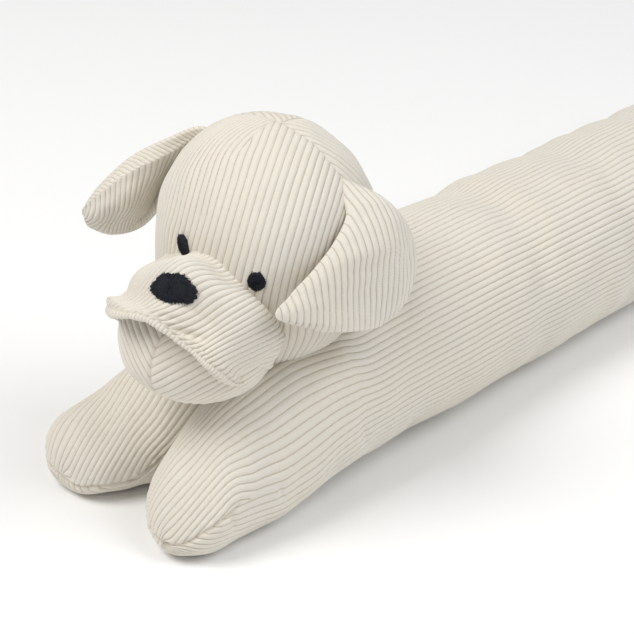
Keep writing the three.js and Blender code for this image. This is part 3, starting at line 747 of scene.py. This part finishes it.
def muzzle_skin(u, v):
    """The muzzle's outer skin; u runs from jowl to jowl, v from the seam on the face to the lip."""
    seam_across = read(MUZZLE, "seamAcross", u)
    seam_up = read(MUZZLE, "seamUp", u)
    seam_forward = np.sqrt((girth_radius(seam_up) + MUZZLE_PROUD) ** 2 - seam_across ** 2)
    fullness = MUZZLE_RISE * mix(RIGHT_FULLNESS, 1, smooth(u, 0.3, 0.5))
    fullness = fullness * mix(1, LEFT_FULLNESS, smooth(u, 0.8, 1.0))
    v_in = np.maximum(v, 0)
    late = mix(MUZZLE_RISE_LATE, MUZZLE_RISE_EARLY, smooth(u, 0.6, 0.8))
    dome = fullness * np.sin(pi * np.minimum(v_in / MUZZLE_RISE_END, 1) ** late)
    flare = LIP_FLARE * np.sin(pi * (v_in - MUZZLE_RISE_END) / (1 - MUZZLE_RISE_END))
    flare = flare * smooth(u, 0.22, 0.42)
    rise = np.where(v_in < MUZZLE_RISE_END, dome, -flare)
    lean = (u - 0.5) * pi
    return on_head(
        mix(seam_forward, read(MUZZLE, "lipForward", u), v),
        mix(seam_across, read(MUZZLE, "lipAcross", u), v) + np.sin(lean) * rise,
        mix(seam_up, read(MUZZLE, "lipUp", u), v) + np.cos(lean) * rise,
    )


# Folds dragged from the gathered middle of the lip: start and end in u and v, depth and width in mm
DRAG_FOLDS = (
    ((0.50, 0.98), (0.70, 0.76), 5.2, 3.6), ((0.47, 0.94), (0.60, 0.76), 2.6, 3.0),
    ((0.58, 0.98), (0.74, 0.88), 2.6, 2.6), ((0.46, 0.96), (0.45, 0.80), 1.5, 2.6),
    ((0.44, 0.98), (0.36, 0.88), 1.0, 2.6), ((0.90, 0.25), (0.95, 0.60), 1.2, 5.0),
)


def fold_depth(u, v):
    """Depth of the dragged folds, which run out at the lip's stitches."""
    total = 0.0
    scale = np.array([MUZZLE_SPAN, MUZZLE_REACH])
    for start, end, depth, width in DRAG_FOLDS:
        way = (np.array(end) - start) * scale
        place = (place_of(u, v) - start) * scale
        share = np.clip(place @ way / (way @ way), 0, 1)
        away = np.linalg.norm(place - share[..., None] * way, axis=-1)
        total = total + depth * bump(away, width) * np.sin(pi * mix(0.25, 1, share))
    return total * mix(1, 0.15, smooth(v, 0.9, LIP_STITCH))


def muzzle_grid():
    """The outer skin, the lip's roll and the cloth tucked in behind it, with u and v."""
    u = np.linspace(0, 1, MUZZLE_WALES * FINE_SAMPLES + 1)[None, :]
    v = np.linspace(-0.05, LIP_STITCH, SKIN_ROWS)[:, None]
    skin = muzzle_skin(u, v)
    down = unit(skin[-1:] - muzzle_skin(u, LIP_STITCH - 0.035))
    sideways = unit(muzzle_skin(u + 0.01, LIP_STITCH) - muzzle_skin(u - 0.01, LIP_STITCH))
    out = unit(np.cross(down, sideways))
    out = out * np.sign((out * UP).sum(-1).mean())
    radius = mix(LIP_ROLL_LOBE, LIP_ROLL, smooth(u, 0.36, 0.5))
    roll = (radius * mix(LIP_ROLL_THIN, 1, np.sin(pi * u) ** 0.5))[..., None]
    turn = np.radians(np.linspace(8, 172, ROLL_ROWS))[:, None, None]
    base = skin[-1:] - out * roll
    lip = base + roll * (out * np.cos(turn) + down * np.sin(turn) * LIP_ROLL_DROP)
    inward = np.linspace(1, LIP_TUCK, TUCK_ROWS)[:, None, None]
    tuck = base - out * roll + 0.16 * roll * down - down * inward + 0.12 * out * inward
    points = np.concatenate([skin, lip, tuck])
    v = np.concatenate([v[:, 0], np.linspace(*ROLL_V, ROLL_ROWS), np.linspace(*TUCK_V, TUCK_ROWS)])
    u, v = (np.broadcast_to(values, points.shape[:2]).ravel() for values in (u, v[:, None]))
    return points, u, v


def add_muzzle_upper():
    points, u, v = muzzle_grid()
    faces = grid_quads(*points.shape[:2], flip=True)
    grid = points.reshape(-1, 3)
    rope = v > LIP_STITCH + 0.005
    slide = (RIB_SHEAR - RIB_SHEAR_FALL * u) * np.maximum(1 - v, 0) ** RIB_SHEAR_POWER
    ribs = (u - slide) * MUZZLE_WALES
    rope_ribs = 2 * u * MUZZLE_WALES + 0.5
    lie = v * MUZZLE_REACH
    panels = Panels([(ribs, lie), (rope_ribs, lie)], rope[faces].mean(1) > 0.5, rope)

    lobe = bump(u - LOBE_U, LOBE_WIDTH) * smooth(u, 0.1, LOBE_U)
    calm = 1 - smooth(u, *LOBE_ENDS)
    stitch = bump((v - LIP_STITCH) * MUZZLE_REACH, STITCH_WIDTH)
    hem = bump((v - HEM_V) * MUZZLE_REACH, HEM_WIDTH) * rope * (1 - lobe)
    soft = uneven(grid, 21, (0.7, (70, 45)), (0.25, (18, 13)))
    soft -= fold_depth(u, np.minimum(v, 1.0)) + mix(1.5, 0.8, lobe) * stitch + 0.5 * hem
    soft += ridge((v - (LIP_STITCH - 0.06)) * MUZZLE_REACH, GATHER_SWELL)
    soft += lobe * ridge((v - LOBE_V) * MUZZLE_REACH, LOBE_PAD)
    # The stitches gather the cloth: its ribs stand out as fingers above them and as beads below
    fingers = FINGERS * (wale_height(ribs) - 0.6) * smooth(v, 0.74, 0.95)
    beads = BEADS * (wale_height(rope_ribs) - 0.6) * (v < TUCK_V[0]) * (1 - calm)
    soft += np.where(rope, beads, fingers * (1 - 0.7 * lobe))
    skin = Skin(grid, faces)
    skin.push(soft)
    seam = np.clip(0.8 * stitch + 0.4 * hem, 0, 1)
    press_ribs(skin, panels, seam, WALE_DEPTH * (1 - rope * mix(0.6, 0.85, calm)))
    add_stuffed("muzzle_cloth", "muzzle_upper", skin, panels, seam)


add_muzzle_upper()


# The lower jaw: a stuffed ball whose two panels' ribs meet in a chevron at the chin

JAW_ACROSS, JAW_FORWARD, JAW_UP = -3.0, 67.0, -59.0
JAW_HALF = np.array([59.5, 54.5, 44.5])
JAW_RIB_RADIUS = 50.0
JAW_COLUMNS, JAW_ROWS, JAW_TURN = 181, 216, (-165, 70)  # turn in degrees from straight ahead
CHIN_SEAM_WIDTH, CHIN_SEAM_SINK = 1.2, 1.1
# Each panel's ribs are slices square to a pole that leans from straight up to the side and forward
JAW_POLES = {1: {"side": radians(50), "forward": 0.0},
             -1: {"side": radians(55), "forward": radians(-40)}}


def add_muzzle_lower():
    angle = np.linspace(0, pi, JAW_COLUMNS)[None, :]
    turn = np.radians(np.linspace(*JAW_TURN, JAW_ROWS))[:, None]
    level = np.sin(angle)
    ball = place_of(level * np.cos(turn), np.cos(angle), level * np.sin(turn)).reshape(-1, 3)
    place = ball * JAW_HALF + (JAW_FORWARD, JAW_ACROSS, JAW_UP)
    faces = grid_quads(JAW_ROWS, JAW_COLUMNS, flip=True)
    rows = []
    for side, lean in JAW_POLES.items():
        up, ahead = cos(lean["forward"]), sin(lean["forward"])
        pole = (ahead, -side * sin(lean["side"]) * up, cos(lean["side"]) * up)
        rows.append((arc_place(ball, pole, JAW_RIB_RADIUS) / WALE_PITCH, place[:, 0]))
    chin = place[:, 1]
    panels = Panels(rows, chin[faces].mean(1) < 0, chin < 0)
    seam = bump(chin, CHIN_SEAM_WIDTH)
    grid = on_head(*place.T)
    skin = Skin(grid, faces)
    skin.push(uneven(grid, 31, (0.7, (60, 40)), (0.25, (18, 13))) - CHIN_SEAM_SINK * seam)
    press_ribs(skin, panels, seam)
    add_stuffed("jaw_cloth", "muzzle_lower", skin, panels, seam * 0.6)


add_muzzle_lower()


# The ears: two padded layers seamed at the rim

EAR_LEFT = table(
    "t ax ay az bx by bz",
    (0, -308, -54, 248, -299, -53, 253), (0.2, -312, -70, 238, -279, -70, 238),
    (0.4, -331, -78, 226, -266, -79, 220), (0.6, -353, -80, 213, -261, -86, 201),
    (0.8, -374, -80, 202, -265, -91, 182), (0.93, -387, -83, 192, -279, -94, 164),
    (1, -352, -90, 171, -302, -95, 157),
)
EAR_RIGHT = table(
    "t ax ay az bx by bz",
    (0, -315, 47, 260, -325, 68, 229), (0.12, -326, 61, 263, -332, 72, 219),
    (0.3, -341, 74, 256, -344, 80, 203),
    (0.55, -361, 94, 241, -358, 92, 184), (0.8, -379, 110, 219, -375, 106, 179),
    (0.93, -386, 117, 205, -386, 116, 185),
    (1, -388, 119, 196, -388, 119, 190),
)
EAR_ROOT = 0.08
EAR_COLUMNS, EAR_ROWS = 135, 151
EAR_REACH = 117.0
RIM_SEAM, RIM_WIDTH, RIM_SINK, RIM_SHADE = 2.8, 1.1, 0.25, 0.15
EAR_STUFFED, EAR_RIBBED = 14.0, 4.5  # how far in from the rim the ear is wholly uneven and wholly ribbed
NEAR_EAR_BULGE, NEAR_EAR_DENT = 28.0, 2.2
NEAR_EAR_SLANT, NEAR_EAR_PITCH = 0.1, 0.98 * WALE_PITCH
FAR_EAR_HOLLOW, FAR_EAR_BACK = 15.0, 7.0
FAR_EAR_DROP, FAR_EAR_BAND = 60.0, 0.17  # how many mm q runs over, and its share above the ridge
FACE_PITCH, BAND_PITCH = 4.6, 3.6  # from rib to rib on the far ear's face and band, along its reach
BAND_FLATTENS, RIDGE_SWELL = 0.45, (1.4, 3.0)


def ear_leaf(ear, q, t):
    """The ear's middle surface; q runs from edge a to edge b, t from the root to the tip."""
    rows = ear["rows"]
    a, b = (place_of(*(read(rows, edge + axis, t) for axis in "xyz")) for edge in "ab")
    push = ear["bulge"](q, t)
    return mix(a, b, q[..., None]) + push[..., None] * np.array(ear["way"], float)


def near_ear_bulge(q, t):
    """How far the middle of the ear stands away from the head, in mm."""
    along = mix(np.sin(pi * t), 0.6, smooth(t, 0.5, 1.0))
    dent = NEAR_EAR_DENT * bump(t - 0.62, 0.10) * bump(q - 0.45, 0.22)
    return NEAR_EAR_BULGE * q * (1 - q) * along - dent


def far_ear_bulge(q, t):
    """A hollow beside the head, in mm away from the viewer, and a round back toward the tip."""
    hollow = FAR_EAR_HOLLOW * bump(t - 0.30, 0.24) * bump(q - 0.64, 0.34)
    back = FAR_EAR_BACK * bump(q - 0.36, 0.27) * smooth(t, 0.2, 0.6) * (1 - smooth(t, 0.85, 1.0))
    return (hollow - back) * smooth(q, 0, 0.12) * (1 - smooth(q, 0.88, 1.0))


def near_ear_ribs(points, q, t):
    """Ribs that hang straight down the ear."""
    x, z = points[:, 0], points[:, 2]
    return (x - NEAR_EAR_SLANT * (z - 160)) / NEAR_EAR_PITCH, z


def far_ear_ribs(points, q, t):
    """Ribs that run down from the ear's ridge, and slant the other way on the band above it."""
    outward = EAR_REACH * t
    face = outward - 24 * q - 22 * bump(t - 0.35, 0.35) * smooth(q, 0.2, 0.8)
    band = outward + 1.1 * FAR_EAR_DROP * (q - FAR_EAR_BAND)
    return np.where(q > FAR_EAR_BAND, face / FACE_PITCH, band / BAND_PITCH), q * FAR_EAR_DROP


# way is the bulge's direction, ridge the ridge's q or 0 for none, shade the painted shade in the hollow
# for each mm of its depth
EARS = {
    "ear_left": {"rows": EAR_LEFT, "bulge": near_ear_bulge, "way": (0, -1, 0), "thickness": 15.0,
                 "seed": 41, "ridge": 0.0, "shade": 0.0, "ribs": near_ear_ribs},
    "ear_right": {"rows": EAR_RIGHT, "bulge": far_ear_bulge, "way": (0.6, 0.8, 0), "thickness": 14.0,
                  "seed": 51, "ridge": FAR_EAR_BAND, "shade": 1.9 / 15, "ribs": far_ear_ribs},
}


def add_ear(name):
    ear = EARS[name]
    q, t = np.linspace(0, 1, EAR_COLUMNS), np.linspace(0, 1, EAR_ROWS)
    q, t = np.meshgrid(mix(q, 0.5 - 0.5 * np.cos(pi * q), 0.6), mix(t, np.sin(pi / 2 * t), 0.5))
    leaf = ear_leaf(ear, q, t)
    step = 0.004
    across = ear_leaf(ear, q + step, t) - ear_leaf(ear, q - step, t)
    along = ear_leaf(ear, q, np.minimum(t + step, 1)) - ear_leaf(ear, q, np.maximum(t - step, 0))
    out = unit(np.cross(across, along))
    full = np.sqrt(np.clip(4 * q * (1 - q) * np.sin(pi * mix(EAR_ROOT, 1, t)), 0, 1))
    half = ear["thickness"] / 2 * full[..., None]
    grid = np.concatenate([leaf + out * half, leaf - out * half]).reshape(-1, 3)
    faces = np.concatenate([grid_quads(*q.shape), grid_quads(*q.shape, q.size, flip=True)])
    width = np.linalg.norm(ear_leaf(ear, 0 * q + 1, t) - ear_leaf(ear, 0 * q, t), axis=-1)
    edge = np.minimum(np.minimum(q, 1 - q) * width, (1 - t) * EAR_REACH)
    q, t, edge = (np.tile(values.ravel(), 2) for values in (q, t, edge))
    rim = bump(edge - RIM_SEAM, RIM_WIDTH)
    panels = Panels([ear["ribs"](grid, q, t)], np.zeros(len(faces)), np.zeros(len(grid)))
    skin = Skin(grid, faces)
    soft = uneven(grid, ear["seed"], (0.9, (60, 40)), (0.4, (24, 16))) * smooth(edge, 0, EAR_STUFFED)
    if ear["ridge"]:
        soft += ridge((q - ear["ridge"]) * FAR_EAR_DROP, RIDGE_SWELL) * smooth(t, 0.1, 0.3)
    skin.push(soft - RIM_SINK * rim)
    depth = WALE_DEPTH * smooth(edge, 0, EAR_RIBBED) * (1 - BAND_FLATTENS * (q < ear["ridge"]))
    press_ribs(skin, panels, rim, depth)
    # Darker along the rim's seam, with painted shade in the far ear's hollow by its depth
    shade = RIM_SHADE * rim + ear["shade"] * np.maximum(ear["bulge"](q, t), 0)
    add_stuffed(name + "_cloth", name, skin, panels, shade)


for ear_name in EARS:
    add_ear(ear_name)


# Stitched nose and eyes

STITCH_LIFT = 2.3
STITCH_RINGS, STITCH_SPOKES = 40, 168
THREAD_WIDTH = 0.95
STRAND_STEPS, STRAND_RADIUS = 5, 0.17
NOSE_U, NOSE_V = 0.5, 0.60
NOSE_FIBRES, EYE_FIBRES = 420, 90
RAGGED = ((31, 0.030), (19, 0.022))  # ripples of a patch's edge: how many there are, and their share
THREAD_RIDGE, ROUGHNESS, PATCH_EDGE_SINK = 0.28, 0.10, 1.5
FIBRE_START, FIBRE_LENGTH, FIBRE_BEND, FIBRE_LIFT = (0.55, 0.98), (0.9, 2.0), 0.5, 0.5
# How far the nose's patch reaches each way, in mm by turn in degrees from straight left
NOSE_OUTLINE = table(
    "turn reach",
    (-41, 9.0), (-18, 11.0), (-4, 14.5), (9, 15.2), (26, 15.0), (40, 12.4), (67, 10.3), (108, 7.9),
    (146, 10.8), (165, 11.9), (188, 14.1), (210, 12.1), (227, 11.0), (265, 10.4), (319, 9.0),
)
EYES = {
    "eye_right": {"left": -17.2, "up": 7.7, "across": 4.2, "height": 6.5, "slant": -0.42, "seed": 81},
    "eye_left": {"left": 37.5, "up": -0.3, "across": 5.3, "height": 7.8, "slant": 0.0, "seed": 82},
}


def nose_outline(turn):
    first = NOSE_OUTLINE["turn"][0]
    return read(NOSE_OUTLINE, "reach", (np.degrees(turn) - first) % 360 + first)


def nose_place(across, up, lift):
    u, v = NOSE_U + across / MUZZLE_SPAN, NOSE_V - up / (MUZZLE_REACH + 8)
    step = 0.01
    side = muzzle_skin(u + step, v) - muzzle_skin(u - step, v)
    down = muzzle_skin(u, v + step) - muzzle_skin(u, v - step)
    out = -unit(np.cross(side, down))
    return muzzle_skin(u, v) + out * np.asarray(lift)[..., None]


def eye_outline(eye, turn):
    wobble = 1 + 0.03 * np.cos(2 * turn + 0.5)
    return wobble / np.hypot(np.cos(turn) / eye["across"], np.sin(turn) / eye["height"])


def eye_place(eye, across, up, lift):
    left, rise = eye["left"] + across + eye["slant"] * up, eye["up"] + up
    forward = np.sqrt(HEAD_RADIUS ** 2 - left ** 2 - rise ** 2)
    scale = (HEAD_RADIUS + lift) / HEAD_RADIUS
    return on_head(forward * scale, left * scale, rise * scale)


def stitch_dome(share):
    return STITCH_LIFT * np.sqrt(np.clip(1 - share ** 3, 0, 1))


def stitched_patch(place, outline, rng):
    """A ridged, ragged dome of satin stitches."""
    radius = np.linspace(0.0, 1.0, STITCH_RINGS)[:, None]
    turn = np.linspace(0, 2 * pi, STITCH_SPOKES + 1)[None, :]
    ragged = 1 + sum(share * np.sin(turn * count + rng.uniform(0, 6)) for count, share in RAGGED)
    reach = outline(turn) * ragged
    across, up = radius * reach * np.cos(turn), radius * reach * np.sin(turn)
    threads = THREAD_RIDGE * np.sin(across * 2 * pi / THREAD_WIDTH + 0.8 * np.sin(up * 0.7))
    rough = rng.normal(0, ROUGHNESS, (STITCH_RINGS, STITCH_SPOKES + 1))
    rough[:, -1] = rough[:, 0]
    rough[0] = rough[0, 0]
    lift = 0.4 + stitch_dome(radius) + (threads + rough) * (1 - radius ** 6)
    lift[-1] = -PATCH_EDGE_SINK
    return place(across, up, lift).reshape(-1, 3), grid_quads(STITCH_RINGS, STITCH_SPOKES + 1)


def loose_fibre(place, outline, rng):
    """A thin three-sided strand that lies outward over the patch's edge."""
    s = np.linspace(0, 1, STRAND_STEPS)
    turn = rng.uniform(0, 2 * pi)
    reach = float(outline(np.array([turn]))[0])
    start = rng.uniform(*FIBRE_START)
    length = rng.uniform(*FIBRE_LENGTH)
    bend = rng.normal(0, FIBRE_BEND)
    across = start * reach * cos(turn) + length * s * np.cos(turn + bend * s)
    up = start * reach * sin(turn) + length * s * np.sin(turn + bend * s)
    dome = 0.5 + stitch_dome(np.hypot(across, up) / reach)
    spine = place(across, up, dome + rng.uniform(0.0, FIBRE_LIFT) * np.sin(pi * s))
    way = unit(np.gradient(spine, axis=0))
    side = unit(np.cross(way, FORWARD + 0.3 * UP))
    over = np.cross(side, way)
    corner = np.radians([0, 120, 240, 360])[:, None, None]
    thick = STRAND_RADIUS * np.sqrt(1 - 0.8 * s)[:, None]
    return (spine + thick * (side * np.cos(corner) + over * np.sin(corner))).reshape(-1, 3)


def add_stitches(name, node, place, outline, seed, fibres):
    rng = np.random.default_rng(seed)
    points, faces = stitched_patch(place, outline, rng)
    points, faces, first = [points], [faces], len(points)
    for _ in range(fibres):
        points.append(loose_fibre(place, outline, rng))
        faces.append(grid_quads(4, STRAND_STEPS, first))
        first += len(points[-1])
    skin = Skin(np.concatenate(points), np.concatenate(faces))
    mesh, _, _ = make_mesh(name, skin.points, skin.faces, THREAD)
    add_piece(name, mesh, node)


add_stitches("nose_stitches", "nose", nose_place, nose_outline, 61, NOSE_FIBRES)
for node, eye in EYES.items():
    place, outline = partial(eye_place, eye), partial(eye_outline, eye)
    add_stitches(node + "_stitches", node, place, outline, eye["seed"], EYE_FIBRES)


# Floor, light and camera

FLOOR_REACH = 6.0


def add_floor():
    mesh = bpy.data.meshes.new("floor")
    corners = [(x * FLOOR_REACH, y * FLOOR_REACH, 0) for x, y in ((-1, -1), (1, -1), (1, 1), (-1, 1))]
    mesh.from_pydata(corners, [], [(0, 1, 2, 3)])
    pale = Nodes("pale_floor")
    white = (0.93, 0.93, 0.93, 1)
    pale.put(pale.shader, {"Base Color": white, "Roughness": 0.9, "Specular IOR Level": 0.1})
    mesh.materials.append(pale.material)
    add_object("floor", mesh)


VIEW_AZIMUTH = radians(45.9)
VIEW_DOWN = radians(30)
VIEW_RIGHT = Vector((sin(VIEW_AZIMUTH), -cos(VIEW_AZIMUTH), 0))
VIEW_AHEAD = Vector((cos(VIEW_AZIMUTH), sin(VIEW_AZIMUTH), 0))
VIEW_FORWARD = VIEW_AHEAD * cos(VIEW_DOWN) - Vector((0, 0, 1)) * sin(VIEW_DOWN)
VIEW_UP = VIEW_AHEAD * sin(VIEW_DOWN) + Vector((0, 0, 1)) * cos(VIEW_DOWN)
CAMERA_PLACE = Vector((-1.04166, -0.8084, 0.752))
SENSOR, LENS = 36.0, 98.35


def add_camera():
    data = bpy.data.cameras.new("camera")
    data.sensor_width = SENSOR
    data.lens = LENS
    camera = add_object("camera", data)
    axes = Matrix((VIEW_RIGHT, VIEW_UP, -VIEW_FORWARD)).transposed()
    camera.matrix_world = Matrix.Translation(CAMERA_PLACE) @ axes.to_4x4()
    bpy.context.scene.camera = camera


# A large key from the viewer's left and a weaker fill from the right, both from above. Their place is in
# metres from the aim: to the viewer's right, ahead and up.
LIGHT_AIM = Vector((-0.28, -0.02, 0.12))
LIGHTS = {
    "key": {"place": (-1.7, -0.8, 2.9), "size": 2.0, "energy": 74, "color": (1.0, 0.985, 0.96)},
    "fill": {"place": (2.6, -1.1, 3.0), "size": 2.6, "energy": 68, "color": (0.96, 0.98, 1.0)},
}
SKY_STRENGTH = 0.4


def add_light(name, light):
    data = bpy.data.lights.new(name, "AREA")
    data.shape = "DISK"
    for key in ("size", "energy", "color"):
        setattr(data, key, light[key])
    right, ahead, up = light["place"]
    lamp = add_object(name, data)
    lamp.location = LIGHT_AIM + VIEW_RIGHT * right + VIEW_AHEAD * ahead + Vector((0, 0, up))
    lamp.rotation_euler = (LIGHT_AIM - lamp.location).to_track_quat("-Z", "Y").to_euler()


def add_sky():
    world = bpy.data.worlds.new("studio")
    world.use_nodes = True
    background = world.node_tree.nodes["Background"]
    background.inputs["Color"].default_value = (1, 1, 1, 1)
    background.inputs["Strength"].default_value = SKY_STRENGTH
    bpy.context.scene.world = world


add_floor()
add_camera()
for light_name, light in LIGHTS.items():
    add_light(light_name, light)
add_sky()
bpy.context.scene.view_settings.view_transform = "Standard"

bpy.context.view_layer.update()
